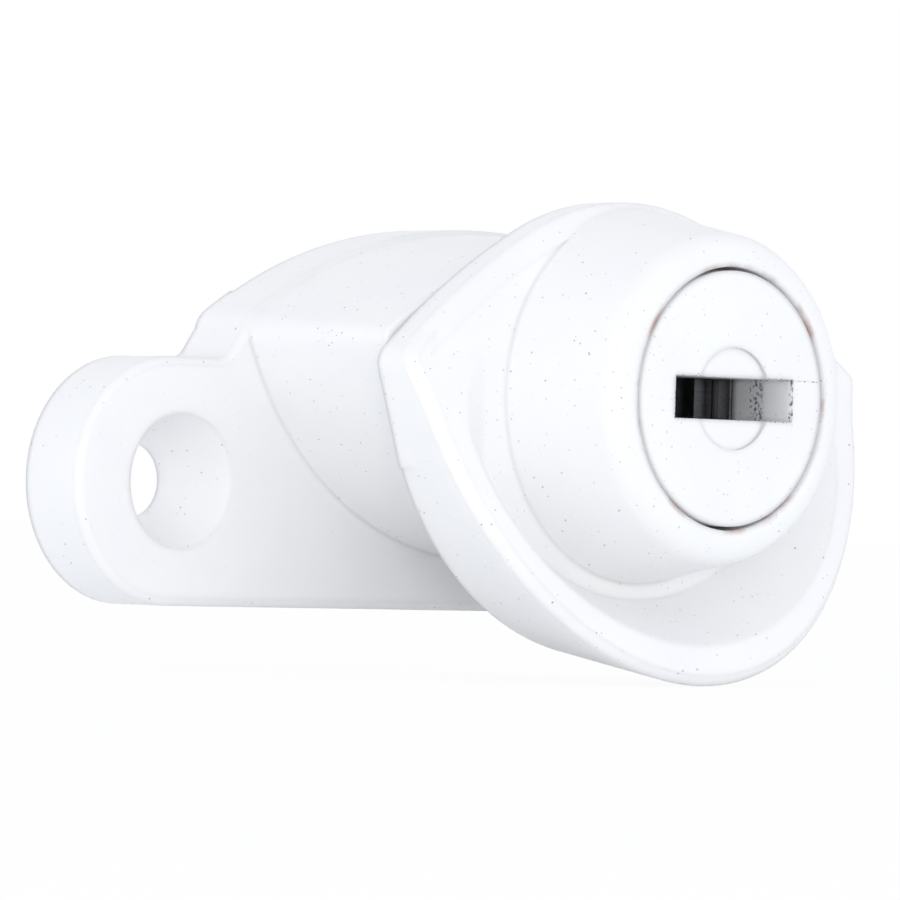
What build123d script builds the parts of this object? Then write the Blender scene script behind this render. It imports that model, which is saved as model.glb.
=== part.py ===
from build123d import *
import math
import os

# Key-locking push bolt for a sliding patio door, in millimetres.
# X runs to the right seen from the key side, Z is up, Y runs from the key side into the door.
# The origin is midway between the two screw holes, on the mounting face.

# Overall layout
overall_depth = 27.5
lock_axis_height = 6.0
bolt_travel = 11.0
quarter_turn = 90.0
cut_overrun = 6.0
running_clearance = 0.08
face_gap = 0.25

# Base casting
plate_thickness = 4.9
screw_spacing = 49.6
lug_outset = 0.7
lug_radius = 7.65
lug_edge_bevel = 0.5
lug_blend_radius = 1.3
gusset_foot = 0.9
gusset_run = 2.0
gusset_top_inset = 0.9
gusset_top_rise = 0.35
screw_hole_radius = 2.3
screw_hole_land = 0.7
countersink_radius = 4.15
pad_relief = 0.3
pad_relief_half_length = 16.9

# Housing: a lens of two arcs, drafted towards the key side
lens_top_rise = 10.45
lens_top_radius = 34.1
lens_bottom_drop = 10.7
lens_bottom_radius = 21.3
lens_corner_radius = 1.9
housing_inset_at_front = 1.05
housing_edge_bevel = 0.2
core_wall = 2.0
core_boss_wall = 2.3
core_front_wall = 2.9

# Back cover, its screws and the bolt's bush
cover_thickness = 1.2
cover_lip = 1.6
cover_clearance = 0.1
cover_screw_inset = 4.9
cover_screw_drop = 1.2
cover_screw_boss = 2.3
cover_screw_radius = 1.1
cover_screw_head_radius = 1.9
cover_screw_length = 5.5
cover_screw_slot_width = 0.5
cover_screw_slot_depth = 0.45
bush_wall = 1.35
bush_flange_radius = 6.5
bush_flange_thickness = 0.35

# Cap: flange, dished front and collar
collar_wall = 1.9
collar_flare = 2.1
collar_lip_bevel = 0.75
lip_step_share = 0.45
cap_back_depth = 10.9
cap_corner_x = 19.8
cap_corner_z = 1.9
cap_corner_round = 1.4
cap_flank_x = 18.9
cap_flank_z = -0.8
cap_flank_run_share = 1.5
cap_lip_overlap = 1.3
cap_drop_at_back = 16.2
cap_drop_at_front = 18.0
cap_shoulder_x = 8.4
cap_shoulder_drop = 2.05
cap_shoulder_bulge = 0.5
rim_depth_at_axis = 7.3
rim_slope = 0.35
rim_edge_bevel = 0.8
wing_edge_bevel = 1.25
dish_depth = 8.0
dish_floor_half_width = 13.4
dish_floor_straight_z = -4.6
dish_floor_bottom_z = -12.6
dish_rim_half_width = 17.0
dish_rim_straight_z = -1.6
dish_rim_bottom_z = -15.7
dish_top_z = 3.2
dish_tool_lift = 1.0
cap_core_inset = 2.2
cap_core_depth = 1.2
cap_boss_inset = 1.1

# Key plug
plug_head_overhang = 0.06
plug_head_gap = 0.24
plug_recess = 0.03
plug_head_length = 2.95
barrel_end_wall = 1.8
tail_step = 3.1
tail_length = 2.3
keyway_wall = 1.5
keyway_shift = 0.25
keyway_height = 2.6
keyway_end_wall = 0.5
keyway_dish_radius = 3.15
keyway_dish_depth = 0.3

# Wafers
wafer_count = 5
wafer_pitch = 1.75
wafer_thickness = 1.0
wafer_end_inset = 0.6
wafer_half_height = 2.6
wafer_window_height = 3.0
wafer_window_wall = 1.7
wafer_slot_clearance = 0.05
wafer_travel = 0.5
first_wafer_setback = 2.8
wafer_window_shift_shares = [0.10, -0.06, 0.04, -0.09, 0.07]

# Cylinder shell
shell_radius = 7.8
shell_wall = 1.2
shell_front_gap = 0.15
shell_back_gap = 0.25
shell_web_thickness = 1.2
groove_depth = 0.3
groove_half_width = 2.75

# Retaining clip
clip_thickness = 0.55
clip_groove_depth = 0.5
clip_ring_width = 1.5
clip_opening = 70.0
clip_room = 1.05

# Locking latch and its drive pin
drive_pin_radius = 0.7
drive_pin_offset = 0.9
latch_thickness = 2.2
latch_half_height = 2.9
latch_nose_inset = 0.65
latch_tail_x = 4.2
latch_gap = 0.1
latch_slot_clearance = 0.1
latch_nose_bevel = 0.5

# Bolt and its cross pin
bolt_radius = 4.0
bolt_protrusion = 10.7
bolt_seat_wall = 0.95
bolt_tip_chamfer = 0.7
cross_pin_radius = 0.8
cross_pin_inset = 0.3
cross_pin_setback = 2.4

# Friction ring in the housing's bore
ring_setback = 3.2
ring_width = 1.2
ring_thickness = 0.75
ring_grip = 0.04

# Springs of the wafers
spring_radius = 0.45
spring_length = 2.0
spring_tab_half_width = 0.6
spring_tab_drop = 1.2

# Stop pin
stop_pin_radius = 1.0
stop_pin_setback = 1.3
stop_pin_reach = 0.7
stop_slot_depth = 0.85
stop_pin_angle = -45.0

# Sizes that follow from the ones above
front_y = -overall_depth
housing_front_y = front_y + cap_back_depth + face_gap
bore_radius = shell_radius + running_clearance
barrel_radius = shell_radius - shell_wall
tail_radius = barrel_radius - tail_step
groove_radius = barrel_radius + groove_depth
plug_head_radius = shell_radius + plug_head_overhang
collar_front_radius = plug_head_radius + plug_head_gap + collar_wall
collar_back_radius = collar_front_radius + collar_flare
keyway_width = 2 * (barrel_radius - keyway_wall)
wafer_half_length = barrel_radius - wafer_end_inset
wafer_window_length = 2 * (wafer_half_length - wafer_window_wall)
head_front_y = front_y + plug_recess
barrel_front_y = head_front_y + plug_head_length
barrel_length = first_wafer_setback + (wafer_count - 1) * wafer_pitch + barrel_end_wall
barrel_back_y = barrel_front_y + barrel_length
web_back_y = barrel_back_y + latch_gap + shell_web_thickness
clip_front_y = web_back_y + latch_gap / 2
latch_front_y = web_back_y + clip_room + latch_gap
latch_throw = 2 * drive_pin_offset
latch_nose_x = shell_radius - latch_nose_inset
bolt_seat_y = latch_front_y + latch_thickness + latch_gap + bolt_seat_wall
cover_front_y = -pad_relief - cover_thickness
shell_front_y = barrel_front_y + shell_front_gap
shell_back_y = cover_front_y - bush_flange_thickness - shell_back_gap
ring_front_y = housing_front_y + ring_setback
cap_back_y = front_y + cap_back_depth
cap_shoulder_z = collar_back_radius - cap_shoulder_drop
wing_low_z = cap_flank_z - cap_flank_run_share * (cap_corner_z - cap_flank_z)
cap_lip_drop = (cap_drop_at_back + cap_drop_at_front) / 2
cap_lip_rise = cap_lip_drop + cap_flank_z
cap_lip_radius = (cap_flank_x ** 2 + cap_lip_rise ** 2) / (2 * cap_lip_rise)


def facing_plane(y):
    """Plane square to the lock axis at y: its x is X, its y is Z and it faces the key side."""
    return Plane(origin=(0, y, lock_axis_height), x_dir=(1, 0, 0), z_dir=(0, -1, 0))


def rod(radius, y_front, y_back, x=0.0, z=0.0):
    """Cylinder along Y between two depths, x and z counted from the lock axis."""
    section = facing_plane(y_back) * Pos(x, z) * Circle(radius)
    return extrude(section, y_back - y_front)


def block(x_low, x_high, y_front, y_back, z_low, z_high):
    """Box between the given planes, z counted from the lock axis."""
    size = (x_high - x_low, y_back - y_front, z_high - z_low)
    centre = ((x_low + x_high) / 2, (y_front + y_back) / 2, (z_low + z_high) / 2 + lock_axis_height)
    return Pos(*centre) * Box(*size)


def tapered_rod(front_radius, back_radius, y_front, y_back, x=0.0, z=0.0):
    """Cone frustum along Y between two depths, x and z counted from the lock axis."""
    frustum = Cone(back_radius, front_radius, y_back - y_front)
    return Pos(x, (y_front + y_back) / 2, z + lock_axis_height) * Rot(quarter_turn, 0, 0) * frustum


def lens_corner(inset):
    """Where the two arcs of the housing's outline would meet, drawn in by inset."""
    top_radius = lens_top_radius - inset
    bottom_radius = lens_bottom_radius - inset
    top_centre = lens_top_rise - lens_top_radius
    bottom_centre = lens_bottom_radius - lens_bottom_drop
    spread = bottom_centre - top_centre
    along = (spread ** 2 + top_radius ** 2 - bottom_radius ** 2) / (2 * spread)
    return math.sqrt(top_radius ** 2 - along ** 2), top_centre + along


def lens_face(y, inset, corner_radius):
    """Housing outline at y: two arcs that meet in rounded corners, drawn in by inset."""
    corner_x, corner_z = lens_corner(inset)
    top_centre = lens_top_rise - lens_top_radius
    bottom_centre = lens_bottom_radius - lens_bottom_drop
    top_radius = lens_top_radius - inset
    bottom_radius = lens_bottom_radius - inset
    upper = ThreePointArc((-corner_x, corner_z), (0, top_centre + top_radius), (corner_x, corner_z))
    lower = ThreePointArc((corner_x, corner_z), (0, bottom_centre - bottom_radius), (-corner_x, corner_z))
    outline = make_face([upper, lower])
    outline = fillet(outline.vertices(), corner_radius)
    return facing_plane(y) * outline


def stadium_face(y):
    """Outline of the screw plate: a bar with round ends on the two screw holes."""
    lug_x = screw_spacing / 2 + lug_outset
    bar = Rectangle(2 * lug_x, 2 * lug_radius)
    ends = [Pos(side * lug_x, 0) * Circle(lug_radius) for side in (-1, 1)]
    outline = Pos(0, -lock_axis_height) * (bar + ends[0] + ends[1])
    return facing_plane(y) * outline


def plate_body():
    """Screw plate with blended shoulders up to the housing and a bevelled front edge."""
    flat = stadium_face(0) + lens_face(0, 0, lens_corner_radius)
    corner_x, corner_z = lens_corner(0)
    lug_top_z = lug_radius - lock_axis_height
    for side in (-1, 1):
        inner_x = side * (corner_x - gusset_run)
        top = (side * (corner_x - gusset_top_inset), corner_z + gusset_top_rise)
        foot = (side * (corner_x + gusset_foot), lug_top_z)
        gusset = Polyline([(inner_x, corner_z), (inner_x, 0), (foot[0], 0), foot, top], close=True)
        flat += facing_plane(0) * make_face(gusset)
    shoulders = [v for v in flat.vertices()
                 if abs(v.Z - lug_radius) < lug_blend_radius / 2 and abs(v.X) < screw_spacing / 2 - lug_blend_radius]
    flat = fillet(shoulders, lug_blend_radius)
    body = extrude(flat, plate_thickness)
    front_edges = body.faces().sort_by(Axis.Y)[0].edges()
    return chamfer(front_edges, lug_edge_bevel)


def lug_screw_hole(x):
    """Countersunk screw hole right through the plate at x."""
    hole_z = -lock_axis_height
    hole = rod(screw_hole_radius, -plate_thickness - lug_edge_bevel, cut_overrun, x, hole_z)
    slope = (countersink_radius - screw_hole_radius) / (plate_thickness - screw_hole_land)
    mouth_radius = countersink_radius + slope * lug_edge_bevel
    sink = tapered_rod(mouth_radius, screw_hole_radius, -plate_thickness - lug_edge_bevel, -screw_hole_land, x, hole_z)
    return hole + sink


def recess_face(y, clearance):
    """Outline of the back cover, or with a clearance of the recess that takes it."""
    return lens_face(y, cover_lip - clearance, lens_corner_radius / 2)


def stop_pin_solid(radius, inner, outer):
    """Pin or hole square to the lock axis, on the lower right side of the housing."""
    y = housing_front_y + stop_pin_setback
    pin = Pos(0, 0, (inner + outer) / 2) * Cylinder(radius, outer - inner)
    return Pos(0, y, lock_axis_height) * Rot(0, quarter_turn - stop_pin_angle, 0) * pin


def stop_pin_outer():
    """Distance from the lock axis to just under the housing's lower surface, along the stop pin."""
    direction = math.radians(stop_pin_angle)
    inset = housing_inset_at_front
    radius = lens_bottom_radius - inset
    centre = lens_bottom_radius - lens_bottom_drop
    half = centre * math.sin(direction)
    return half + math.sqrt(half ** 2 - centre ** 2 + radius ** 2) - stop_pin_radius / 2


def make_base_housing():
    """Die-cast base: screw plate, drafted lens-shaped housing, bore, latch window and cored back."""
    draft = math.degrees(math.atan(housing_inset_at_front / -housing_front_y))
    housing = extrude(lens_face(0, 0, lens_corner_radius), -housing_front_y, taper=draft)
    front_rim = housing.faces().sort_by(Axis.Y)[0].edges()
    housing = chamfer(front_rim, housing_edge_bevel)
    body = plate_body() + housing
    body -= rod(bore_radius, housing_front_y - cut_overrun, cut_overrun)
    for side in (-1, 1):
        body -= lug_screw_hole(side * screw_spacing / 2)
    relief = block(-pad_relief_half_length, pad_relief_half_length, -pad_relief, cut_overrun,
                   -lock_axis_height - lug_radius - cut_overrun, lens_top_rise + cut_overrun)
    body -= relief
    body -= extrude(recess_face(cut_overrun, 0), cut_overrun - cover_front_y)
    core = extrude(lens_face(0, core_wall + housing_inset_at_front, lens_corner_radius / 2),
                   -housing_front_y - core_front_wall)
    screw_x, screw_z = cover_screw_place()
    core_inner_x = bore_radius + core_boss_wall
    core_outer_x = screw_x - cover_screw_boss
    for side in (-1, 1):
        low, high = sorted((side * core_inner_x, side * core_outer_x))
        body -= core & block(low, high, front_y, 0, -lens_top_radius, lens_top_radius)
        body -= rod(cover_screw_radius, cover_front_y - cover_screw_length, 0, side * screw_x, screw_z)
    room = 2 * latch_gap
    body -= block(0, latch_nose_x + latch_throw + room, latch_front_y - room, latch_front_y + latch_thickness + room,
                  -latch_half_height - room, latch_half_height + room)
    body -= stop_pin_solid(stop_pin_radius, 0, lens_bottom_radius)
    body -= rod(shell_radius + ring_grip + ring_thickness, ring_front_y, ring_front_y + ring_width)
    return body


def cover_screw_place():
    """Distance of a cover screw from the middle, and its height counted from the lock axis."""
    corner_x, corner_z = lens_corner(0)
    return corner_x - cover_screw_inset, corner_z - cover_screw_drop


def make_back_cover():
    """Steel plate in the recess behind the housing, with the bush hole and two screw holes."""
    y_back = -pad_relief
    plate = extrude(recess_face(y_back, -cover_clearance), cover_thickness)
    plate -= rod(bush_outer_radius(), cover_front_y - cut_overrun, cut_overrun)
    for side in (-1, 1):
        plate -= screw_blank(side, cover_clearance / 2)
    return plate


def screw_blank(side, clearance):
    """Countersunk cover screw without its slot, grown by a clearance."""
    x, z = cover_screw_place()
    y_back = -pad_relief
    head_depth = cover_screw_head_radius - cover_screw_radius
    shank_radius = cover_screw_radius + clearance
    shank = rod(shank_radius, y_back - cover_screw_length, y_back, side * x, z)
    head_radius = cover_screw_head_radius + clearance
    return shank + tapered_rod(shank_radius, head_radius, y_back - head_depth, y_back, side * x, z)


def make_cover_screws():
    """The two slotted cover screws."""
    screws = []
    screw_x, screw_z = cover_screw_place()
    for side in (-1, 1):
        x = side * screw_x
        slot = block(x - cover_screw_head_radius, x + cover_screw_head_radius,
                     -pad_relief - cover_screw_slot_depth, cut_overrun,
                     screw_z - cover_screw_slot_width / 2, screw_z + cover_screw_slot_width / 2)
        screws.append(screw_blank(side, 0) - slot)
    return Compound(children=screws)


def make_friction_ring():
    """Nylon ring in a groove of the bore, which grips the shell lightly."""
    ring = rod(shell_radius + ring_grip + ring_thickness, ring_front_y, ring_front_y + ring_width)
    return ring - rod(shell_radius + ring_grip, front_y, 0)


def bush_outer_radius():
    """Outer radius of the bolt's bush."""
    return bolt_radius + running_clearance + bush_wall


def make_bolt_bush():
    """Flanged nylon bush that guides the bolt in the back cover."""
    bush = rod(bush_outer_radius(), cover_front_y, -pad_relief)
    bush += rod(bush_flange_radius, cover_front_y - bush_flange_thickness, cover_front_y)
    bush -= rod(bolt_radius + running_clearance, front_y, cut_overrun)
    return bush


def make_stop_pin():
    """Steel dowel that runs in the shell's slot, limits the travel and keeps the cap upright."""
    inner = shell_radius - stop_pin_reach
    return stop_pin_solid(stop_pin_radius, inner, stop_pin_outer())


def cap_wings():
    """Upper outline of the flange: straight flanks, rounded pointed corners and an arched top."""
    run_x = cap_corner_x - cap_shoulder_x
    run_z = cap_shoulder_z - cap_corner_z
    run = math.hypot(run_x, run_z)
    bulge_x = (cap_corner_x + cap_shoulder_x) / 2 + cap_shoulder_bulge * run_z / run
    bulge_z = (cap_corner_z + cap_shoulder_z) / 2 + cap_shoulder_bulge * run_x / run
    low_x = cap_flank_x - cap_flank_run_share * (cap_corner_x - cap_flank_x)
    outline = [Line((-low_x, wing_low_z), (low_x, wing_low_z))]
    outline.append(ThreePointArc((cap_shoulder_x, cap_shoulder_z), (0, collar_back_radius),
                                 (-cap_shoulder_x, cap_shoulder_z)))
    for side in (-1, 1):
        corner = (side * cap_corner_x, cap_corner_z)
        outline.append(Line((side * low_x, wing_low_z), corner))
        outline.append(ThreePointArc(corner, (side * bulge_x, bulge_z), (side * cap_shoulder_x, cap_shoulder_z)))
    wings = make_face(outline)
    corners = [v for v in wings.vertices() if abs(v.X) > cap_flank_x]
    return fillet(corners, cap_corner_round)


def flared_lip():
    """Lower part of the flange before its front is cut: a cylinder tilted so that it flares forward."""
    tilt = math.degrees(math.atan((cap_drop_at_front - cap_drop_at_back) / cap_back_depth))
    reach = cap_lip_radius + cut_overrun
    centre_rise = cap_lip_radius / math.cos(math.radians(tilt)) - cap_lip_drop
    centre = (0, (front_y + cap_back_y) / 2, lock_axis_height + centre_rise)
    lip = Pos(*centre) * Rot(quarter_turn + tilt, 0, 0) * Cylinder(cap_lip_radius, 2 * reach)
    return lip & block(-reach, reach, front_y, cap_back_y, -reach, cap_flank_z + cap_lip_overlap)


def rim_point(x, z, lift=0.0):
    """Point on the tilted plane of the rim, z counted from the lock axis, moved forward by lift."""
    return (x, front_y + rim_depth_at_axis + rim_slope * z - lift, z + lock_axis_height)


def in_front_of_rim():
    """Everything in front of the tilted plane of the rim."""
    reach = cap_corner_x + cut_overrun
    low = -cap_drop_at_front - cut_overrun
    high = collar_back_radius + cut_overrun
    far = front_y - cut_overrun
    corners = [(far, low), (rim_point(0, low)[1], low), (rim_point(0, high)[1], high), (far, high)]
    profile = Polyline([(0, y, z + lock_axis_height) for y, z in corners], close=True)
    return extrude(make_face(profile), reach, both=True)


def bevelled_front(solid, bevel, lowest, highest):
    """The solid with a bevel on its front face's edges whose middles lie between two heights."""
    forward = [face for face in solid.faces() if face.normal_at().Y < 0]
    front = max(forward, key=lambda face: face.area)
    edges = [edge for edge in front.edges() if lowest < edge.center().Z - lock_axis_height < highest]
    return chamfer(edges, bevel)


def flange_body():
    """Flange with its tilted rim, flat upper front and bevelled edges, before the dish is cut."""
    wings = extrude(facing_plane(cap_back_y) * cap_wings(), cap_back_depth)
    reach = cap_corner_x + cut_overrun
    rim_side = in_front_of_rim()
    flat_side = block(-reach, reach, front_y - cut_overrun, front_y + dish_depth, -reach, reach)
    above_base = wing_low_z + rim_edge_bevel
    flange = bevelled_front(flared_lip() - rim_side, rim_edge_bevel, -reach, cap_flank_z)
    flange += bevelled_front(wings - rim_side, rim_edge_bevel, above_base, cap_shoulder_z)
    flange += bevelled_front(wings - flat_side, wing_edge_bevel, above_base, reach)
    return flange


def dish_tool():
    """Dish between collar and rim: a flat U-shaped floor whose walls slope out to the rim."""
    floor_y = front_y + dish_depth
    floor = [(-dish_floor_half_width, dish_top_z), (-dish_floor_half_width, dish_floor_straight_z),
             (0, dish_floor_bottom_z), (dish_floor_half_width, dish_floor_straight_z),
             (dish_floor_half_width, dish_top_z)]
    rim = [(-dish_rim_half_width, dish_top_z), (-dish_rim_half_width, dish_rim_straight_z),
           (0, dish_rim_bottom_z), (dish_rim_half_width, dish_rim_straight_z),
           (dish_rim_half_width, dish_top_z)]
    floor_points = [(x, floor_y, z + lock_axis_height) for x, z in floor]
    rim_points = [rim_point(x, z, dish_tool_lift) for x, z in rim]
    sections = []
    for points in (floor_points, rim_points):
        left = Line(points[0], points[1])
        lower = ThreePointArc(points[1], points[2], points[3])
        right = Line(points[3], points[4])
        upper = Line(points[4], points[0])
        sections.append(make_face([left, lower, right, upper]))
    return loft(sections, ruled=True)


def make_plunger_cap():
    """Die-cast cap: tilted, dished flange, tapered collar, and the bores for plug and shell."""
    flange = flange_body() - dish_tool()
    flange -= extrude(cap_core_face(), cap_core_depth)
    collar = tapered_rod(collar_front_radius, collar_back_radius, front_y, cap_back_y)
    collar = chamfer(collar.faces().sort_by(Axis.Y)[0].edges(), collar_lip_bevel)
    lip = collar.faces().filter_by(GeomType.CONE).sort_by(Axis.Y)[0]
    collar = chamfer(lip.edges().filter_by(GeomType.CIRCLE), collar_lip_bevel * lip_step_share)
    cap = flange + collar
    cap -= rod(plug_head_radius + plug_head_gap, front_y - cut_overrun, shell_front_y)
    cap -= rod(shell_radius, front_y, cap_back_y + cut_overrun)
    return cap


def cap_core_face():
    """Shallow weight-saving pocket in the flange's back, kept clear of the rim and of the boss."""
    cut_z = cap_flank_z + cap_lip_overlap
    lip = Pos(0, cap_lip_radius - cap_drop_at_back) * Circle(cap_lip_radius)
    reach = 2 * cap_lip_radius
    lip &= Pos(0, cut_z - reach / 2) * Rectangle(reach, reach)
    outline = offset(cap_wings() + lip, -cap_core_inset) - Circle(collar_back_radius - cap_boss_inset)
    return facing_plane(cap_back_y) * outline


def make_key_plug():
    """Lock plug: painted head, barrel with keyway and wafer slots, tail and drive pin."""
    end_y = barrel_back_y + tail_length
    plug = rod(plug_head_radius, head_front_y, barrel_front_y)
    plug += rod(barrel_radius, barrel_front_y, barrel_back_y)
    plug += rod(tail_radius, barrel_back_y, end_y)
    plug -= rod(keyway_dish_radius, head_front_y - cut_overrun, head_front_y + keyway_dish_depth, keyway_shift)
    plug -= block(keyway_shift - keyway_width / 2, keyway_shift + keyway_width / 2, head_front_y - cut_overrun,
                  barrel_back_y - keyway_end_wall, -keyway_height / 2, keyway_height / 2)
    for number in range(wafer_count):
        y = wafer_y(number)
        half = wafer_thickness / 2 + wafer_slot_clearance
        high = wafer_half_height + wafer_slot_clearance
        plug -= block(-plug_head_radius, plug_head_radius, y - half, y + half, -high, high)
        tab_reach = spring_tab_half_width + wafer_travel + wafer_slot_clearance
        plug -= block(-tab_reach, spring_tab_half_width + spring_length, y - half, y + half,
                      -high - spring_tab_drop, -wafer_half_height / 2)
    clip_back_y = clip_front_y + clip_thickness
    groove = rod(tail_radius + cut_overrun, clip_front_y, clip_back_y)
    plug -= groove - rod(tail_radius - clip_groove_depth, clip_front_y - cut_overrun, clip_back_y + cut_overrun)
    pin_end = latch_front_y + latch_thickness
    plug += rod(drive_pin_radius, end_y - clip_thickness, pin_end, -drive_pin_offset, drive_pin_offset)
    return plug


def wafer_y(number):
    """Middle of a wafer's thickness."""
    return barrel_front_y + first_wafer_setback + number * wafer_pitch


def make_wafer(number):
    """Stamped brass wafer with a window for the key, shifted to suit its cut."""
    y = wafer_y(number)
    half = wafer_thickness / 2
    wafer = block(-wafer_half_length, wafer_half_length, y - half, y + half, -wafer_half_height, wafer_half_height)
    shift = wafer_window_shift_shares[number % len(wafer_window_shift_shares)] * wafer_window_length
    wafer -= block(shift - wafer_window_length / 2, shift + wafer_window_length / 2, y - wafer_thickness,
                   y + wafer_thickness, -wafer_window_height / 2, wafer_window_height / 2)
    tab = block(-spring_tab_half_width, spring_tab_half_width, y - half, y + half,
                -wafer_half_height - spring_tab_drop, -wafer_half_height + half)
    return wafer + tab


def make_wafer_spring(number):
    """Small coil spring beside a wafer's tab, closed in by the plug and drawn as its envelope."""
    z = -wafer_half_height - spring_tab_drop + spring_radius
    start = (spring_tab_half_width, wafer_y(number), lock_axis_height + z)
    section = Plane(origin=start, x_dir=(0, 1, 0), z_dir=(1, 0, 0)) * Circle(spring_radius)
    return extrude(section, spring_length)


def make_cylinder_shell():
    """Zinc shell: bore and grooves for plug and wafers, web, latch guide and bolt seat."""
    shell = rod(shell_radius, shell_front_y, shell_back_y)
    shell -= rod(barrel_radius + running_clearance / 2, front_y, web_back_y - shell_web_thickness)
    shell -= rod(tail_radius + running_clearance, front_y, latch_front_y)
    shell -= rod(tail_radius + clip_ring_width + latch_gap, web_back_y, web_back_y + clip_room)
    groove_front = wafer_y(0) - wafer_thickness
    groove_back = wafer_y(wafer_count - 1) + wafer_thickness
    for reach_x, reach_z in ((groove_radius, groove_half_width), (groove_half_width, groove_radius)):
        shell -= block(-reach_x, reach_x, groove_front, groove_back, -reach_z, reach_z)
    shell -= block(-latch_tail_x - latch_gap, shell_radius + cut_overrun, latch_front_y - latch_gap,
                   latch_front_y + latch_thickness + latch_gap, -latch_half_height - latch_gap,
                   latch_half_height + latch_gap)
    shell -= rod(bolt_radius, bolt_seat_y, cut_overrun)
    shell -= cross_pin_solid(shell_radius + cut_overrun)
    shell -= stop_slot()
    return shell


def stop_slot():
    """Slot along the shell for the stop pin, as long as the bolt's travel."""
    start = housing_front_y + stop_pin_setback
    half = stop_pin_radius + running_clearance
    length = bolt_travel + 2 * half
    slot = Box(2 * half, length, cut_overrun)
    slot = fillet(slot.edges().filter_by(Axis.Z), half - running_clearance / 2)
    placed = Pos(0, 0, shell_radius - stop_slot_depth + cut_overrun / 2) * slot
    return Pos(0, start + bolt_travel / 2, lock_axis_height) * Rot(0, quarter_turn - stop_pin_angle, 0) * placed


def make_retaining_clip():
    """Open steel clip in the groove of the plug's tail."""
    clip = rod(tail_radius + clip_ring_width, clip_front_y, clip_front_y + clip_thickness)
    clip -= rod(tail_radius - clip_groove_depth, clip_front_y - cut_overrun, clip_front_y + cut_overrun)
    reach = tail_radius + clip_ring_width + cut_overrun
    half_width = reach * math.tan(math.radians(clip_opening / 2))
    wedge = Polyline([(0, 0), (half_width, -reach), (-half_width, -reach)], close=True)
    mouth = facing_plane(clip_front_y + cut_overrun) * wedge
    clip -= extrude(make_face(mouth), 2 * cut_overrun)
    return clip


def make_locking_latch():
    """Steel latch that the plug's pin slides sideways into the housing's window."""
    y = latch_front_y
    latch = block(-latch_tail_x, latch_nose_x, y, y + latch_thickness, -latch_half_height, latch_half_height)
    nose = [e for e in latch.edges().filter_by(Axis.Y) if e.center().X > 0]
    latch = chamfer(nose, latch_nose_bevel)
    half = drive_pin_radius + latch_slot_clearance
    reach = drive_pin_offset * math.sqrt(2) + half
    for z in (drive_pin_offset, reach - half):
        latch -= rod(half, y - cut_overrun, y + cut_overrun, -drive_pin_offset, z)
    latch -= block(-drive_pin_offset - half, -drive_pin_offset + half, y - cut_overrun, y + cut_overrun,
                   drive_pin_offset, reach - half)
    return latch


def make_bolt():
    """Turned steel bolt with a chamfered tip."""
    bolt = rod(bolt_radius, bolt_seat_y, bolt_protrusion)
    bolt = chamfer(bolt.faces().sort_by(Axis.Y)[-1].edges(), bolt_tip_chamfer)
    return bolt - cross_pin_solid(shell_radius)


def cross_pin_solid(half_length):
    """Pin across the shell and the bolt, along X."""
    pin = Rot(0, quarter_turn, 0) * Cylinder(cross_pin_radius, 2 * half_length)
    return Pos(0, shell_back_y - cross_pin_setback, lock_axis_height) * pin


def make_cross_pin():
    """Spring pin that holds the bolt in the shell."""
    return cross_pin_solid(shell_radius - cross_pin_inset)


def save(node, solid):
    """Write one sub-part."""
    export_step(solid, os.path.join("parts", node + ".step"))


os.makedirs("parts", exist_ok=True)
save("base_housing", make_base_housing())
save("back_cover", make_back_cover())
save("cover_screws", make_cover_screws())
save("bolt_bush", make_bolt_bush())
save("friction_ring", make_friction_ring())
save("stop_pin", make_stop_pin())
save("plunger_cap", make_plunger_cap())
save("cylinder_shell", make_cylinder_shell())
save("bolt", make_bolt())
save("bolt_cross_pin", make_cross_pin())
save("key_plug", make_key_plug())
save("retaining_clip", make_retaining_clip())
save("locking_latch", make_locking_latch())
for index in range(wafer_count):
    save("wafer_" + str(index + 1), make_wafer(index))
    save("wafer_spring_" + str(index + 1), make_wafer_spring(index))
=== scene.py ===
"""Looks of a keyed push lock for a sliding patio door, laid out as an add-on and run as a script."""
import math

import bpy
from bpy.props import FloatProperty, FloatVectorProperty, PointerProperty, StringProperty
from mathutils import Matrix, Vector


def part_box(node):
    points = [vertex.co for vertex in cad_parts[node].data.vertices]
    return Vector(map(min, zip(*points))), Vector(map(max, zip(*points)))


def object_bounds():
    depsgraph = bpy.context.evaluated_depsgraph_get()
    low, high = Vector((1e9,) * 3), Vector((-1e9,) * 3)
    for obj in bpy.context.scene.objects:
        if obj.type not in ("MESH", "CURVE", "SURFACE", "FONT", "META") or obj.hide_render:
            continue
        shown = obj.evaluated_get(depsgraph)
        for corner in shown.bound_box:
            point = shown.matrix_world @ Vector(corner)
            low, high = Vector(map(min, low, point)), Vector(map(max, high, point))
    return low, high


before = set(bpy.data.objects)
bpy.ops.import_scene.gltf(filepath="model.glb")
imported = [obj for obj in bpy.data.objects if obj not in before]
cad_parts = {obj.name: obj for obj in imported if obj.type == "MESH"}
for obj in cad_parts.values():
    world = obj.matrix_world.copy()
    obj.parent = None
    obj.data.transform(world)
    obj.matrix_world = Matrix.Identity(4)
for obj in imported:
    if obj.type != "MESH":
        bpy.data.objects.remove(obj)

bl_info = {
    "name": "Patio door push lock",
    "version": (1, 0, 0),
    "blender": (4, 5, 0),
    "location": "View3D > Sidebar > Push lock",
    "description": "Finishes, lights and camera for a keyed push lock of white coated zinc",
    "category": "Object",
}

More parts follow.
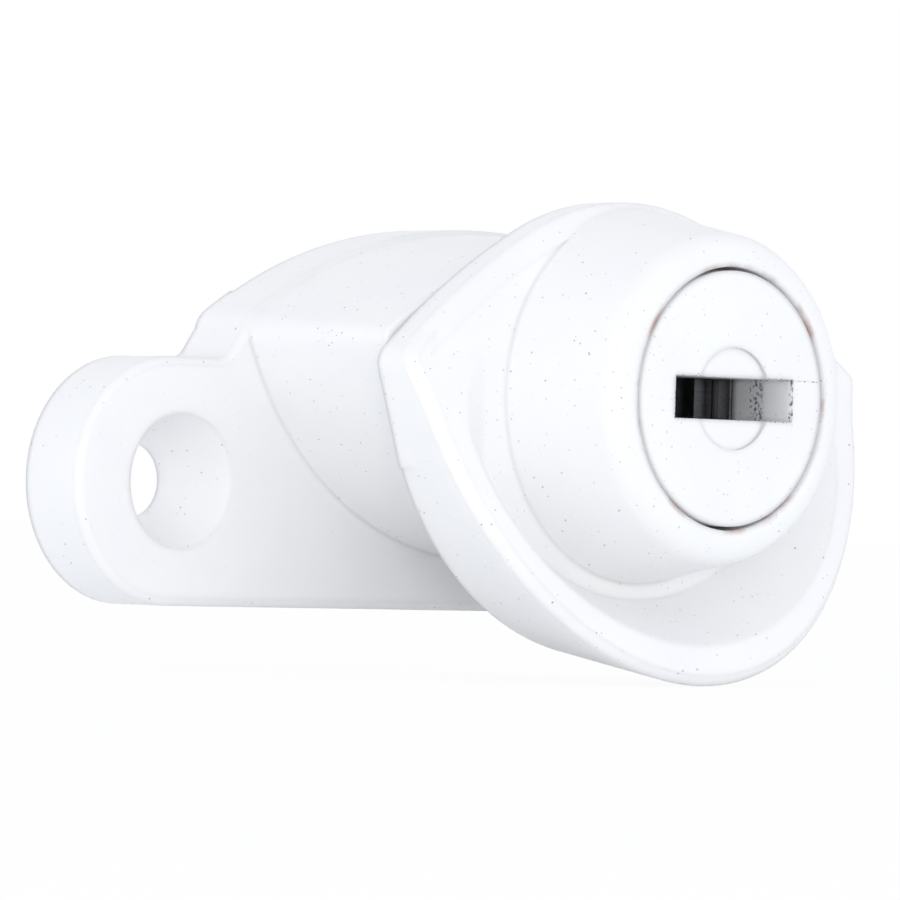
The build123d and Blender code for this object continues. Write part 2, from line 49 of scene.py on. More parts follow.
MM = 0.001
cad_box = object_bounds()
plug_low, plug_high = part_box("key_plug")
PLUG_FACE = Vector(((plug_low.x + plug_high.x) / 2, plug_low.y, (plug_low.z + plug_high.z) / 2))
PLUG_RADIUS = (plug_high.x - plug_low.x) / 2
KEYWAY_MIDDLE = PLUG_FACE + Vector((0.25 * MM, 0.0, 0.0))
KEYWAY_HALF = (5.1 * MM, 0.0, 1.3 * MM)
# Scratch beside the keyway: its middle from the keyway's middle, and one over its half length and height.
SCRATCH_MIDDLE = Vector((6.3 * MM, 0.0, 1.25 * MM))
SCRATCH_SHARES = (0.4 / MM, 0.0, 12.0 / MM)
# Rusty spot on the ring gap, from the middle of the plug's face.
STAIN_PLACE = Vector((-6.4 * MM, 0.0, 4.2 * MM))
GAP_RADIUS = PLUG_RADIUS + 0.12 * MM
GAP_HALF = 0.11 * MM
WAVE_PITCH = 9 * MM
GRIME_PITCH = 3.0 * MM
CHIP_PITCH = 0.45 * MM
FLOW_PITCH = 1.5 * MM
FIBRE_PITCH = 4 * MM

# The plug's face stands this many pixels right of and above the middle of a picture of this width.
PICTURE_WIDTH = 900
PLUG_PIXELS_RIGHT = 281.5
PLUG_PIXELS_UP = 51.3
FLOOR_HALF = 3.0
FLOOR_GAP = 0.05 * MM
# Lamps, in metres: distance back along the view, to the right and up from the lock's middle, then width
# and height.
STRIP_LAMP = (0.56, 0.0, -0.009, (0.56, 0.034))
FRONT_LAMP = (0.5, 0.04, 0.01, (0.12, 0.04))
LAMP_COLOUR = (1.0, 0.94, 0.87)
ROOM_COLOUR = "#F6F9FE"
WHITE = "#FFFFFF"


def linear(hex_code):
    """Linear colour with alpha from an sRGB hex code."""
    shares = [int(hex_code[i:i + 2], 16) / 255 for i in (1, 3, 5)]
    return [s / 12.92 if s <= 0.04045 else ((s + 0.055) / 1.055) ** 2.4 for s in shares] + [1.0]


def colour_property(name, description, hex_code):
    """A colour that a user may change, given as sRGB hex."""
    return FloatVectorProperty(name=name, description=description, subtype="COLOR", size=4,
                               min=0.0, max=1.0, default=linear(hex_code))


def size_property(name, description, millimetres):
    """A length that a user may change, given in millimetres."""
    return FloatProperty(name=name, description=description, default=millimetres * MM, min=0.0,
                         unit="LENGTH", precision=5)


class PUSHLOCK_PG_finish(bpy.types.PropertyGroup):
    """Colours and pattern sizes of the finishes."""
    enamel: colour_property("Powder coat", "White polyester powder coat on the castings", "#F9F9F9")
    enamel_shade: colour_property("Powder coat, thin", "Cooler tone where the coat lies thin", "#F6F6F7")
    speck: colour_property("Specks", "Dust specks in the coat", "#AEB0B5")
    grime: colour_property("Grime", "Old oil and dirt in the ring gap round the plug", "#2A2018")
    rust: colour_property("Stain", "Thin rusty stain where the grime has spread", "#A9542E")
    # Paler than bare zinc: in the keyway this is partly painted light for the dim recess; it is also the
    # shell's metal colour.
    zinc: colour_property("Raw zinc", "Uncoated die-cast zinc in the keyway and on the shell", "#EEEFF1")
    # Dark oxide in the grain hollows, and also the painted shade deep in the keyway.
    zinc_oxide_and_shade: colour_property("Raw zinc, hollows", "Dark oxide in the hollows of the raw zinc, and painted shade deep in the keyway", "#737376")
    plated: colour_property("Zinc plating", "Bright zinc plating on the cover and its screws", "#C3C6CA")
    steel: colour_property("Steel", "Turned and ground steel of bolt, pins and latch", "#B7B8BA")
    # Darker than nickel plating, partly as painted shade for wafers that sit deep in the keyway.
    nickel: colour_property("Nickel plating", "Nickel plating of the brass wafers, partly darkened as painted shade", "#898B90")
    nylon: colour_property("Nylon", "Natural nylon of bush and ring", "#E4E0D2")
    edge_round: size_property("Soft edges", "Radius that the coat gives to the castings' edges", 0.8)
    peel_pitch: size_property("Orange peel", "Distance between the low waves of the coat", 0.9)
    speck_pitch: size_property("Speck pitch", "Mean distance between dust specks in the coat", 0.42)
    speck_radius: size_property("Speck radius", "Radius of the largest dust specks", 0.055)
    cast_grain: size_property("Cast grain", "Grain of uncoated die-cast zinc", 0.22)
    turning_pitch: size_property("Turning marks", "Feed of the lathe, coarser than real so that it shows",
                                 0.18)
    coat_in_keyway: size_property("Coat in the keyway", "How deep the coat reaches into the keyway", 2.45)
    # Depth past which the keyway's zinc is painted dark, as shade deep inside the keyway.
    keyway_shade_depth: size_property("Keyway shade depth", "Depth past which the keyway is painted dark as shade", 5.8)
    chip_width: size_property("Chipped edge", "Width of the edge that keys have chipped round the keyway",
                              0.16)


class PUSHLOCK_PG_stage(bpy.types.PropertyGroup):
    """Floor, lamps and camera."""
    floor: colour_property("Floor", "Plain pale floor and backdrop", "#F9FAFB")
    backdrop_level: FloatProperty(name="Backdrop",
                                  description="Brightness of the background seen by the camera",
                                  default=1.0, min=0.0)
    floor_share: FloatProperty(name="Floor share",
                               description="Share of the floor seen as backdrop by the camera",
                               default=0.94, min=0.0, max=1.0)
    key_power: FloatProperty(name="Strip lamp", description="Power of the long low lamp under the camera",
                             default=0.2, min=0.0, unit="POWER")
    front_power: FloatProperty(name="Front lamp", description="Power of the soft lamp beside the camera",
                               default=0.29, min=0.0, unit="POWER")
    sky_level: FloatProperty(name="Room light", description="Even light from the walls of the room",
                             default=1.38, min=0.0)
    zenith_level: FloatProperty(name="Ceiling light", description="Light from straight above", default=0.7,
                                min=0.0)
    azimuth: FloatProperty(name="Azimuth", description="Viewing angle round the lock", subtype="ANGLE",
                           default=math.radians(-43.4))
    elevation: FloatProperty(name="Elevation", description="Viewing angle above the floor", subtype="ANGLE",
                             default=math.radians(-0.45))
    roll: FloatProperty(name="Roll", description="How far the camera is turned about its view",
                        subtype="ANGLE", default=math.radians(1.6))
    distance: size_property("Camera distance", "From the camera to the plug's face", 490.4)
    lens: FloatProperty(name="Lens", description="Focal length in millimetres", default=320.0, min=1.0)


class PUSHLOCK_PG_nodes(bpy.types.PropertyGroup):
    """Which pieces belong to each finish."""
    castings: StringProperty(name="Castings", description="White coated castings",
                             default="base_housing plunger_cap")
    plated: StringProperty(name="Plated", description="Zinc plated pieces",
                           default="back_cover cover_screws")
    turned: StringProperty(name="Turned", description="Turned steel pieces",
                           default="bolt bolt_cross_pin stop_pin")
    stamped: StringProperty(name="Stamped", description="Stamped steel pieces",
                            default="locking_latch retaining_clip")
    moulded: StringProperty(name="Moulded", description="Moulded nylon pieces",
                            default="bolt_bush friction_ring")


def add_node(tree, kind, inputs=None, **settings):
    """Adds a node: settings are its attributes, inputs its sockets, each a value or a socket to link."""
    item = tree.nodes.new(kind)
    for key, value in settings.items():
        setattr(item, key, value)
    for key, value in (inputs or {}).items():
        if isinstance(value, bpy.types.NodeSocket):
            tree.links.new(value, item.inputs[key])
        else:
            item.inputs[key].default_value = value
    return item


def new_material(name, colour):
    """Empty material with its shader and output; returns the material and the shader."""
    material = bpy.data.materials.new(name)
    material.use_nodes = True
    material.diffuse_color = colour
    tree = material.node_tree
    tree.nodes.clear()
    shader = add_node(tree, "ShaderNodeBsdfPrincipled", {"Base Color": colour})
    add_node(tree, "ShaderNodeOutputMaterial", {"Surface": shader.outputs["BSDF"]})
    return material, shader


def coat_colour(tree, place, finish):
    """Powder coat: two close whites in slow waves, with sparse dark dust specks of uneven size."""
    slow = add_node(tree, "ShaderNodeTexNoise", {"Vector": place, "Scale": 1 / WAVE_PITCH, "Detail": 3.0})
    share = add_node(tree, "ShaderNodeMapRange", {"Value": slow.outputs["Fac"], "From Min": 0.35,
                                                  "From Max": 0.65}, interpolation_type="SMOOTHSTEP")
    white = add_node(tree, "ShaderNodeMix", {0: share.outputs[0], 6: tuple(finish.enamel),
                                             7: tuple(finish.enamel_shade)}, data_type="RGBA")
    cells = add_node(tree, "ShaderNodeTexVoronoi", {"Vector": place, "Scale": 1 / finish.speck_pitch})
    chance = add_node(tree, "ShaderNodeSeparateColor", {"Color": cells.outputs["Color"]})
    largest = 1.3 * finish.speck_radius / finish.speck_pitch
    reach = add_node(tree, "ShaderNodeMath", {0: chance.outputs[0], 1: largest}, operation="MULTIPLY")
    near = add_node(tree, "ShaderNodeMath", {0: cells.outputs["Distance"], 1: reach.outputs[0]},
                    operation="LESS_THAN")
    depth = add_node(tree, "ShaderNodeMapRange",
                     {"Value": chance.outputs[1], "From Min": 0.3, "From Max": 0.95})
    strength = add_node(tree, "ShaderNodeMath", {0: near.outputs[0], 1: depth.outputs[0]},
                        operation="MULTIPLY")
    specked = add_node(tree, "ShaderNodeMix",
                       {0: strength.outputs[0], 6: white.outputs[2], 7: tuple(finish.speck)},
                       data_type="RGBA")
    return specked.outputs[2]


def coat_bump(tree, place, finish):
    """Orange peel of the coat over the faint unevenness of the casting, on edges rounded by the coat."""
    soft = add_node(tree, "ShaderNodeBevel", {"Radius": finish.edge_round}, samples=8)
    peel = add_node(tree, "ShaderNodeTexNoise",
                    {"Vector": place, "Scale": 1 / finish.peel_pitch, "Detail": 1.0})
    wave = add_node(tree, "ShaderNodeTexNoise",
                    {"Vector": place, "Scale": 0.2 / finish.peel_pitch, "Detail": 1.0})
    height = add_node(tree, "ShaderNodeMath", {0: wave.outputs["Fac"], 1: 2.0, 2: peel.outputs["Fac"]},
                      operation="MULTIPLY_ADD")
    bump = add_node(tree, "ShaderNodeBump", {"Height": height.outputs[0], "Strength": 0.35,
                                             "Distance": 0.012 * MM, "Normal": soft.outputs["Normal"]})
    return bump.outputs["Normal"]


def ring_dirt(tree, place, clean, finish):
    """Colour with the plug's ring gap blackened by old oil, unevenly round the ring and less on its left,
    with rusty patches beside it and one rusty spot at the upper left."""
    centred = add_node(tree, "ShaderNodeVectorMath", {0: place, 1: PLUG_FACE}, operation="SUBTRACT")
    across = add_node(tree, "ShaderNodeVectorMath", {0: centred.outputs[0], 1: (1.0, 0.0, 1.0)},
                      operation="MULTIPLY")
    radius = add_node(tree, "ShaderNodeVectorMath", {0: across.outputs[0]},
                      operation="LENGTH").outputs["Value"]
    parts = add_node(tree, "ShaderNodeSeparateXYZ", {"Vector": centred.outputs[0]}).outputs
    aside, depth = parts["X"], parts["Y"]
    uneven = add_node(tree, "ShaderNodeTexNoise", {"Vector": place, "Scale": 1 / GRIME_PITCH, "Detail": 4.0})
    uneven = uneven.outputs["Fac"]
    off_gap = add_node(tree, "ShaderNodeMath", {0: radius, 1: GAP_RADIUS, 2: GAP_HALF}, operation="COMPARE")
    inside = add_node(tree, "ShaderNodeMapRange",
                      {"Value": depth, "From Min": 0.02 * MM, "From Max": 0.22 * MM})
    thick = add_node(tree, "ShaderNodeMapRange", {"Value": uneven, "From Min": 0.42, "From Max": 0.6,
                                                  "To Min": 0.15})
    worn_side = add_node(tree, "ShaderNodeMapRange", {"Value": aside, "From Min": -PLUG_RADIUS,
                                                      "From Max": -0.2 * PLUG_RADIUS, "To Min": 0.15})
    black = off_gap
    for share in (inside, thick, worn_side):
        black = add_node(tree, "ShaderNodeMath", {0: black.outputs[0], 1: share.outputs[0]},
                         operation="MULTIPLY")
    spread = add_node(tree, "ShaderNodeMapRange", {"Value": radius, "From Min": PLUG_RADIUS + 0.2 * MM,
                                                   "From Max": PLUG_RADIUS + 0.65 * MM, "To Min": 1.0,
                                                   "To Max": 0.0},
                      interpolation_type="SMOOTHSTEP")
    patch = add_node(tree, "ShaderNodeMapRange", {"Value": uneven, "From Min": 0.5, "From Max": 0.66,
                                                  "To Max": 0.6})
    halo = add_node(tree, "ShaderNodeMath", {0: spread.outputs[0], 1: patch.outputs[0]},
                    operation="MULTIPLY")
    off_stain = add_node(tree, "ShaderNodeVectorMath", {0: across.outputs[0], 1: STAIN_PLACE},
                         operation="DISTANCE")
    stain = add_node(tree, "ShaderNodeMapRange", {"Value": off_stain.outputs["Value"], "From Min": 0.3 * MM,
                                                  "From Max": 1.4 * MM, "To Min": 0.9, "To Max": 0.0})
    stain = add_node(tree, "ShaderNodeMath", {0: stain.outputs[0], 1: spread.outputs[0]},
                     operation="MULTIPLY")
    halo = add_node(tree, "ShaderNodeMath", {0: halo.outputs[0], 1: stain.outputs[0]}, operation="MAXIMUM")
    near_front = add_node(tree, "ShaderNodeMath", {0: depth, 1: 4.0 * MM}, operation="LESS_THAN")
    outer = add_node(tree, "ShaderNodeMath", {0: radius, 1: PLUG_RADIUS + 0.02 * MM},
                     operation="GREATER_THAN")
    for share in (near_front, outer):
        halo = add_node(tree, "ShaderNodeMath", {0: halo.outputs[0], 1: share.outputs[0]},
                        operation="MULTIPLY")
    stained = add_node(tree, "ShaderNodeMix", {0: halo.outputs[0], 6: clean, 7: tuple(finish.rust)},
                       data_type="RGBA")
    dirty = add_node(tree, "ShaderNodeMix", {0: black.outputs[0], 6: stained.outputs[2],
                                             7: tuple(finish.grime)}, data_type="RGBA")
    return dirty.outputs[2]


def powder_coat(finish):
    """White polyester powder coat on die-cast zinc: soft semi-gloss with orange peel and dust specks,
    edges rounded by the coat, and old oil in the ring gap round the plug."""
    material, shader = new_material("powder_coated_zinc", tuple(finish.enamel))
    tree = material.node_tree
    place = add_node(tree, "ShaderNodeTexCoord").outputs["Object"]
    dirty = ring_dirt(tree, place, coat_colour(tree, place, finish), finish)
    tree.links.new(dirty, shader.inputs["Base Color"])
    shader.inputs["Roughness"].default_value = 0.42
    tree.links.new(coat_bump(tree, place, finish), shader.inputs["Normal"])
    return material


def keyway_metal(tree, centred, finish):
    """Raw cast zinc of the keyway: pale where keys rub it, and paler than bare zinc as painted light for the
    dim keyway, with dark hollows near the coat's edge, and painted dark as shade further in, past a set
    depth."""
    grain = add_node(tree, "ShaderNodeTexNoise",
                     {"Vector": centred, "Scale": 1 / finish.cast_grain, "Detail": 4.0})
    depth = add_node(tree, "ShaderNodeSeparateXYZ", {"Vector": centred}).outputs["Y"]
    fewer = add_node(tree, "ShaderNodeMapRange", {"Value": depth, "From Min": 3.2 * MM, "From Max": 4.4 * MM,
                                                  "To Min": 0.0, "To Max": 0.22})
    raised = add_node(tree, "ShaderNodeMath", {0: grain.outputs["Fac"], 1: fewer.outputs[0]},
                      operation="ADD")
    pits = add_node(tree, "ShaderNodeMapRange",
                    {"Value": raised.outputs[0], "From Min": 0.4, "From Max": 0.52})
    bare = add_node(tree, "ShaderNodeMix",
                    {0: pits.outputs[0], 6: tuple(finish.zinc_oxide_and_shade), 7: tuple(finish.zinc)},
                    data_type="RGBA")
    # Painted shade: past the set depth the bare zinc turns dark, standing in for the shade deep in the
    # keyway.
    deep = add_node(tree, "ShaderNodeMapRange", {"Value": depth,
                                                 "From Min": finish.keyway_shade_depth - 0.3 * MM,
                                                 "From Max": finish.keyway_shade_depth + 0.4 * MM})
    dark = add_node(tree, "ShaderNodeMix",
                    {0: deep.outputs[0], 6: bare.outputs[2], 7: tuple(finish.zinc_oxide_and_shade)},
                    data_type="RGBA")
    return dark.outputs[2], grain.outputs["Fac"], depth


def plug_finish(finish):
    """Plug of die-cast zinc: coated on its head, bare in the keyway and behind, with the coat chipped by
    keys along the keyway's edge, which shows grey metal through ragged edges, and one fine scratch beside
    it. A skin of white oxide dulls the bare zinc, so that it hardly mirrors; its pale grey is partly painted
    light, paler than bare zinc, that brightens the dim keyway, and deep in the keyway it is painted dark as
    shade."""
    material, shader = new_material("coated_plug_zinc", tuple(finish.enamel))
    tree = material.node_tree
    place = add_node(tree, "ShaderNodeTexCoord").outputs["Object"]
    coat = ring_dirt(tree, place, coat_colour(tree, place, finish), finish)
    centred = add_node(tree, "ShaderNodeVectorMath", {0: place, 1: KEYWAY_MIDDLE},
                       operation="SUBTRACT").outputs[0]
    bare, grain, depth = keyway_metal(tree, centred, finish)
    ragged = add_node(tree, "ShaderNodeMath", {0: grain, 1: 1.6 * MM, 2: depth}, operation="MULTIPLY_ADD")
    behind = add_node(tree, "ShaderNodeMath", {0: ragged.outputs[0], 1: finish.coat_in_keyway + 0.8 * MM},
                      operation="GREATER_THAN")
    size = add_node(tree, "ShaderNodeVectorMath", {0: centred}, operation="ABSOLUTE")
    past = add_node(tree, "ShaderNodeVectorMath", {0: size.outputs[0], 1: KEYWAY_HALF}, operation="SUBTRACT")
    past = add_node(tree, "ShaderNodeSeparateXYZ", {"Vector": past.outputs[0]})
    outside = add_node(tree, "ShaderNodeMath", {0: past.outputs["X"], 1: past.outputs["Z"]},
                       operation="MAXIMUM")
    off_edge = add_node(tree, "ShaderNodeMath", {0: outside.outputs[0]}, operation="ABSOLUTE")
    edge = add_node(tree, "ShaderNodeMapRange", {"Value": off_edge.outputs[0], "From Min": 0.0,
                                                 "From Max": finish.chip_width, "To Min": 1.0,
                                                 "To Max": 0.0})
    rim = add_node(tree, "ShaderNodeMapRange", {"Value": depth, "From Min": 0.15 * MM, "From Max": 0.6 * MM,
                                                "To Min": 1.0, "To Max": 0.0})
    worn = add_node(tree, "ShaderNodeTexNoise", {"Vector": place, "Scale": 1 / CHIP_PITCH, "Detail": 3.0})
    chip = add_node(tree, "ShaderNodeMath", {0: edge.outputs[0], 1: rim.outputs[0]}, operation="MULTIPLY")
    chip = add_node(tree, "ShaderNodeMath", {0: chip.outputs[0], 1: worn.outputs["Fac"]},
                    operation="MULTIPLY")
    chip = add_node(tree, "ShaderNodeMath", {0: chip.outputs[0], 1: 0.36}, operation="GREATER_THAN")
    beside = add_node(tree, "ShaderNodeVectorMath", {0: centred, 1: SCRATCH_MIDDLE}, operation="SUBTRACT")
    beside = add_node(tree, "ShaderNodeVectorMath", {0: beside.outputs[0], 1: SCRATCH_SHARES},
                      operation="MULTIPLY")
    beside = add_node(tree, "ShaderNodeVectorMath", {0: beside.outputs[0]},
                      operation="LENGTH").outputs["Value"]
    scratch = add_node(tree, "ShaderNodeMath", {0: worn.outputs["Fac"], 1: beside}, operation="GREATER_THAN")
    chip = add_node(tree, "ShaderNodeMath", {0: chip.outputs[0], 1: scratch.outputs[0]}, operation="MAXIMUM")
    metal = add_node(tree, "ShaderNodeMath", {0: behind.outputs[0], 1: chip.outputs[0]}, operation="MAXIMUM")
    metal = metal.outputs[0]
    colour = add_node(tree, "ShaderNodeMix", {0: metal, 6: coat, 7: bare}, data_type="RGBA")
    tree.links.new(colour.outputs[2], shader.inputs["Base Color"])
    dull = add_node(tree, "ShaderNodeMath", {0: metal, 1: 0.12}, operation="MULTIPLY")
    tree.links.new(dull.outputs[0], shader.inputs["Metallic"])
    shader.inputs["Roughness"].default_value = 0.42
    tree.links.new(coat_bump(tree, place, finish), shader.inputs["Normal"])
    return material


def metal_finish(name, colour, finish, marks, roughness):
    """Bare or plated metal. Marks are round (turned on a lathe), long (ground or rolled) or cast (grainy):
    they break the highlight into fine lines or a satin grain."""
    material, shader = new_material(name, colour)
    tree = material.node_tree
    place = add_node(tree, "ShaderNodeTexCoord").outputs["Object"]
    stretch = {"round": (0.02, 1.0, 0.02), "long": (0.06, 1.0, 1.0), "cast": (1.0, 1.0, 1.0)}[marks]
    pitch = finish.cast_grain if marks == "cast" else finish.turning_pitch
    drawn = add_node(tree, "ShaderNodeVectorMath", {0: place, 1: stretch}, operation="MULTIPLY")
    lines = add_node(tree, "ShaderNodeTexNoise",
                     {"Vector": drawn.outputs[0], "Scale": 1 / pitch, "Detail": 3.0})
    lines = lines.outputs["Fac"]
    dark = tuple(c * 0.72 for c in colour[:3]) + (1.0,)
    share = add_node(tree, "ShaderNodeMapRange", {"Value": lines, "From Min": 0.3, "From Max": 0.75},
                     interpolation_type="SMOOTHSTEP")
    tint = add_node(tree, "ShaderNodeMix", {0: share.outputs[0], 6: dark, 7: colour}, data_type="RGBA")
    tree.links.new(tint.outputs[2], shader.inputs["Base Color"])
    shader.inputs["Metallic"].default_value = 1.0
    rough = add_node(tree, "ShaderNodeMapRange", {"Value": lines, "To Min": roughness - 0.08,
                                                  "To Max": roughness + 0.1})
    tree.links.new(rough.outputs[0], shader.inputs["Roughness"])
    bump = add_node(tree, "ShaderNodeBump", {"Height": lines, "Strength": 0.3, "Distance": 0.01 * MM})
    tree.links.new(bump.outputs["Normal"], shader.inputs["Normal"])
    return material


def nylon_finish(finish):
    """Natural nylon, injection moulded: waxy off-white, slightly see-through at thin edges, with faint flow
    marks."""
    material, shader = new_material("moulded_nylon", tuple(finish.nylon))
    tree = material.node_tree
    place = add_node(tree, "ShaderNodeTexCoord").outputs["Object"]
    flow = add_node(tree, "ShaderNodeTexNoise", {"Vector": place, "Scale": 1 / FLOW_PITCH}).outputs["Fac"]
    pale = tuple(min(1.0, c * 1.06) for c in finish.nylon[:3]) + (1.0,)
    tint = add_node(tree, "ShaderNodeMix", {0: flow, 6: tuple(finish.nylon), 7: pale}, data_type="RGBA")
    tree.links.new(tint.outputs[2], shader.inputs["Base Color"])
    shader.inputs["Roughness"].default_value = 0.55
    shader.inputs["Subsurface Weight"].default_value = 0.15
    shader.inputs["Subsurface Radius"].default_value = (0.8 * MM, 0.7 * MM, 0.5 * MM)
    bump = add_node(tree, "ShaderNodeBump", {"Height": flow, "Strength": 0.2, "Distance": 0.01 * MM})
    tree.links.new(bump.outputs["Normal"], shader.inputs["Normal"])
    return material


def dress(names, material):
    """Gives the named pieces one material."""
    for name in names:
        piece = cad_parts[name]
        piece.data.materials.clear()
        piece.data.materials.append(material)


class PUSHLOCK_OT_castings(bpy.types.Operator):
    """Coats the base housing and the plunger cap in white powder coat"""
    bl_idname = "pushlock.castings"
    bl_label = "Coated castings"

    def execute(self, context):
        scene = context.scene
        dress(scene.pushlock_nodes.castings.split(), powder_coat(scene.pushlock_finish))
        return {"FINISHED"}


class PUSHLOCK_OT_plug(bpy.types.Operator):
    """Finishes the key plug: coated head, bare keyway and chipped edges"""
    bl_idname = "pushlock.plug"
    bl_label = "Key plug"

    def execute(self, context):
        dress(["key_plug"], plug_finish(context.scene.pushlock_finish))
        return {"FINISHED"}


class PUSHLOCK_OT_wafers(bpy.types.Operator):
    """Finishes the stamped, nickel-plated brass wafers and their springs"""
    bl_idname = "pushlock.wafers"
    bl_label = "Wafers"

    def execute(self, context):
        finish = context.scene.pushlock_finish
        wafers = [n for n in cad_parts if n.startswith("wafer_") and "spring" not in n]
        springs = [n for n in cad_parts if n.startswith("wafer_spring")]
        # The wafers' dark nickel is partly painted shade for their place deep in the keyway.
        dress(wafers, metal_finish("nickel_plated_brass", tuple(finish.nickel), finish, "long", 0.36))
        dress(springs, metal_finish("spring_wire_steel", tuple(finish.steel), finish, "long", 0.3))
        return {"FINISHED"}


class PUSHLOCK_OT_shell(bpy.types.Operator):
    """Finishes the bare die-cast cylinder shell"""
    bl_idname = "pushlock.shell"
    bl_label = "Cylinder shell"

    def execute(self, context):
        finish = context.scene.pushlock_finish
        dress(["cylinder_shell"], metal_finish("die_cast_zinc", tuple(finish.zinc), finish, "cast", 0.48))
        return {"FINISHED"}


class PUSHLOCK_OT_metalwork(bpy.types.Operator):
    """Finishes bolt, pins, latch, clip, back cover and screws"""
    bl_idname = "pushlock.metalwork"
    bl_label = "Steel pieces"

    def execute(self, context):
        scene = context.scene
        finish, nodes = scene.pushlock_finish, scene.pushlock_nodes
        dress(nodes.turned.split(), metal_finish("turned_steel", tuple(finish.steel), finish, "round", 0.28))
        dress(nodes.stamped.split(),
              metal_finish("stamped_steel", tuple(finish.steel), finish, "long", 0.36))
        dress(nodes.plated.split(),
              metal_finish("zinc_plated_steel", tuple(finish.plated), finish, "long", 0.34))
        return {"FINISHED"}


class PUSHLOCK_OT_mouldings(bpy.types.Operator):
    """Finishes the nylon bush and ring"""
    bl_idname = "pushlock.mouldings"
    bl_label = "Nylon pieces"

    def execute(self, context):
        scene = context.scene
        dress(scene.pushlock_nodes.moulded.split(), nylon_finish(scene.pushlock_finish))
        return {"FINISHED"}


def view_axes(stage):
    """Right, up and back directions of the camera."""
    az, el = stage.azimuth, stage.elevation
    back = Vector((math.sin(az) * math.cos(el), -math.cos(az) * math.cos(el), math.sin(el)))
    right = Vector((math.cos(az), math.sin(az), 0.0))
    up = back.cross(right)
    turn_cos, turn_sin = math.cos(stage.roll), math.sin(stage.roll)
    return right * turn_cos + up * turn_sin, up * turn_cos - right * turn_sin, back


def add_lamp(name, power, place, target, size, colour):
    """Soft rectangular lamp at a place, aimed at a point."""
    lamp = bpy.data.lights.new(name, "AREA")
    lamp.shape = "RECTANGLE"
    lamp.size, lamp.size_y = size
    lamp.energy = power
    lamp.color = colour
    item = bpy.data.objects.new(name, lamp)
    item.location = place
    item.rotation_euler = (target - place).to_track_quat("-Z", "Y").to_euler()
    bpy.context.scene.collection.objects.link(item)


def seen_rays(tree):
    """1 for what the camera sees straight, in gloss or through glass, else 0."""
    path = add_node(tree, "ShaderNodeLightPath")
    seen = add_node(tree, "ShaderNodeMath", {0: path.outputs["Is Camera Ray"],
                                             1: path.outputs["Is Transmission Ray"]}, operation="MAXIMUM")
    return add_node(tree, "ShaderNodeMath", {0: seen.outputs[0], 1: path.outputs["Is Glossy Ray"]},
                    operation="MAXIMUM").outputs[0]


def pale_backdrop(world, stage):
    """Room light for the object, and the plain pale background for what the camera, gloss and glass see."""
    world.use_nodes = True
    tree = world.node_tree
    tree.nodes.clear()
    towards = add_node(tree, "ShaderNodeTexCoord").outputs["Generated"]
    height = add_node(tree, "ShaderNodeSeparateXYZ", {"Vector": towards}).outputs["Z"]
    level = add_node(tree, "ShaderNodeMapRange", {"Value": height, "To Min": stage.sky_level,
                                                  "To Max": stage.zenith_level})
    room = add_node(tree, "ShaderNodeBackground",
                    {"Color": linear(ROOM_COLOUR), "Strength": level.outputs[0]})
    pale = add_node(tree, "ShaderNodeBackground", {"Color": linear(WHITE), "Strength": stage.backdrop_level})
    blend = add_node(tree, "ShaderNodeMixShader",
                     {0: seen_rays(tree), 1: room.outputs[0], 2: pale.outputs[0]})
    add_node(tree, "ShaderNodeOutputWorld", {"Surface": blend.outputs[0]})


def paper_floor(stage):
    """Matte white paper: faint fibres, and for the camera mostly the backdrop's own white, so no horizon
    shows and only the lock's soft shadow marks the floor."""
    material, shader = new_material("matte_paper_floor", tuple(stage.floor))
    tree = material.node_tree
    place = add_node(tree, "ShaderNodeTexCoord").outputs["Object"]
    fibre = add_node(tree, "ShaderNodeTexNoise", {"Vector": place, "Scale": 1 / FIBRE_PITCH, "Detail": 3.0})
    paler = tuple(min(1.0, c * 1.01) for c in stage.floor[:3]) + (1.0,)
    tint = add_node(tree, "ShaderNodeMix", {0: fibre.outputs["Fac"], 6: tuple(stage.floor), 7: paler},
                    data_type="RGBA")
    tree.links.new(tint.outputs[2], shader.inputs["Base Color"])
    shader.inputs["Roughness"].default_value = 0.9
    shader.inputs["Specular IOR Level"].default_value = 0.1
    share = add_node(tree, "ShaderNodeMath", {0: seen_rays(tree), 1: stage.floor_share},
                     operation="MULTIPLY")
    glow = add_node(tree, "ShaderNodeEmission", {"Color": linear(WHITE), "Strength": stage.backdrop_level})
    blend = add_node(tree, "ShaderNodeMixShader",
                     {0: share.outputs[0], 1: shader.outputs[0], 2: glow.outputs[0]})
    output = next(item for item in tree.nodes if item.bl_idname == "ShaderNodeOutputMaterial")
    tree.links.new(blend.outputs[0], output.inputs["Surface"])
    return material


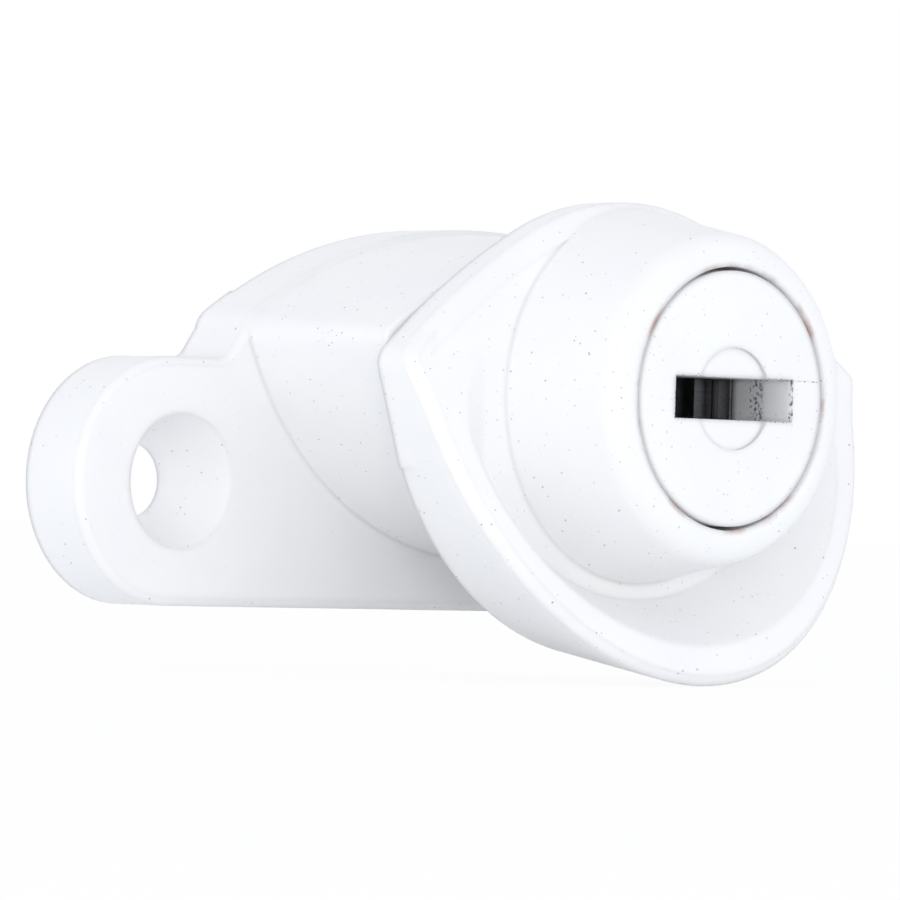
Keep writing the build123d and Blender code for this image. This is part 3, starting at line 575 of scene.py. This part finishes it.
class PUSHLOCK_OT_stage(bpy.types.Operator):
    """Sets the plain pale floor, the soft lamps and the camera"""
    bl_idname = "pushlock.stage"
    bl_label = "Stage"

    def execute(self, context):
        scene = context.scene
        stage = scene.pushlock_stage
        low, high = Vector(cad_box[0]), Vector(cad_box[1])
        centre = (low + high) / 2
        self.make_floor(stage, centre, low.z - FLOOR_GAP)
        right, up, back = view_axes(stage)
        self.place_camera(scene, stage, right, up, back)
        for name, power, (away, aside, above, size) in (("strip_lamp", stage.key_power, STRIP_LAMP),
                                                        ("front_lamp", stage.front_power, FRONT_LAMP)):
            place = centre + back * away + right * aside + up * above
            add_lamp(name, power, place, centre, size, LAMP_COLOUR)
        world = bpy.data.worlds.new("pale_room")
        scene.world = world
        pale_backdrop(world, stage)
        scene.view_settings.view_transform = "Standard"
        return {"FINISHED"}

    def make_floor(self, stage, centre, height):
        """Large flat square just below the lock."""
        corners = [(centre.x + a * FLOOR_HALF, centre.y + b * FLOOR_HALF, height)
                   for a, b in ((-1, -1), (1, -1), (1, 1), (-1, 1))]
        mesh = bpy.data.meshes.new("floor")
        mesh.from_pydata(corners, [], [(0, 1, 2, 3)])
        floor = bpy.data.objects.new("floor", mesh)
        bpy.context.scene.collection.objects.link(floor)
        mesh.materials.append(paper_floor(stage))

    def place_camera(self, scene, stage, right, up, back):
        """Long-lens camera at the viewing angle, with the plug's face right of centre."""
        camera = bpy.data.cameras.new("camera")
        camera.lens = stage.lens
        camera.sensor_width = 36.0
        camera.sensor_fit = "HORIZONTAL"
        camera.clip_start = 0.01
        camera.clip_end = 20.0
        item = bpy.data.objects.new("camera", camera)
        pixel = stage.distance * camera.sensor_width / camera.lens / PICTURE_WIDTH
        spot = (PLUG_FACE + back * stage.distance
                - right * PLUG_PIXELS_RIGHT * pixel - up * PLUG_PIXELS_UP * pixel)
        item.matrix_world = Matrix.Translation(spot) @ Matrix((right, up, back)).transposed().to_4x4()
        scene.collection.objects.link(item)
        scene.camera = item


class PUSHLOCK_PT_panel(bpy.types.Panel):
    """Lists the steps in the sidebar"""
    bl_idname = "PUSHLOCK_PT_panel"
    bl_label = "Push lock"
    bl_space_type = "VIEW_3D"
    bl_region_type = "UI"
    bl_category = "Push lock"

    def draw(self, context):
        for step in STEPS:
            self.layout.operator(step.bl_idname)
        for group in (context.scene.pushlock_finish, context.scene.pushlock_stage):
            for key in group.__annotations__:
                self.layout.prop(group, key)


STEPS = (PUSHLOCK_OT_castings, PUSHLOCK_OT_plug, PUSHLOCK_OT_wafers, PUSHLOCK_OT_shell,
         PUSHLOCK_OT_metalwork,
         PUSHLOCK_OT_mouldings, PUSHLOCK_OT_stage)
CLASSES = (PUSHLOCK_PG_finish, PUSHLOCK_PG_stage, PUSHLOCK_PG_nodes) + STEPS + (PUSHLOCK_PT_panel,)


def register():
    """Registers the classes and hangs the settings on the scene."""
    for item in CLASSES:
        bpy.utils.register_class(item)
    bpy.types.Scene.pushlock_finish = PointerProperty(type=PUSHLOCK_PG_finish)
    bpy.types.Scene.pushlock_stage = PointerProperty(type=PUSHLOCK_PG_stage)
    bpy.types.Scene.pushlock_nodes = PointerProperty(type=PUSHLOCK_PG_nodes)


def unregister():
    """Takes the settings and the classes away again."""
    del bpy.types.Scene.pushlock_finish, bpy.types.Scene.pushlock_stage, bpy.types.Scene.pushlock_nodes
    for item in reversed(CLASSES):
        bpy.utils.unregister_class(item)


def main():
    register()
    for step in STEPS:
        group, name = step.bl_idname.split(".")
        getattr(getattr(bpy.ops, group), name)()


if __name__ == "__main__":
    main()
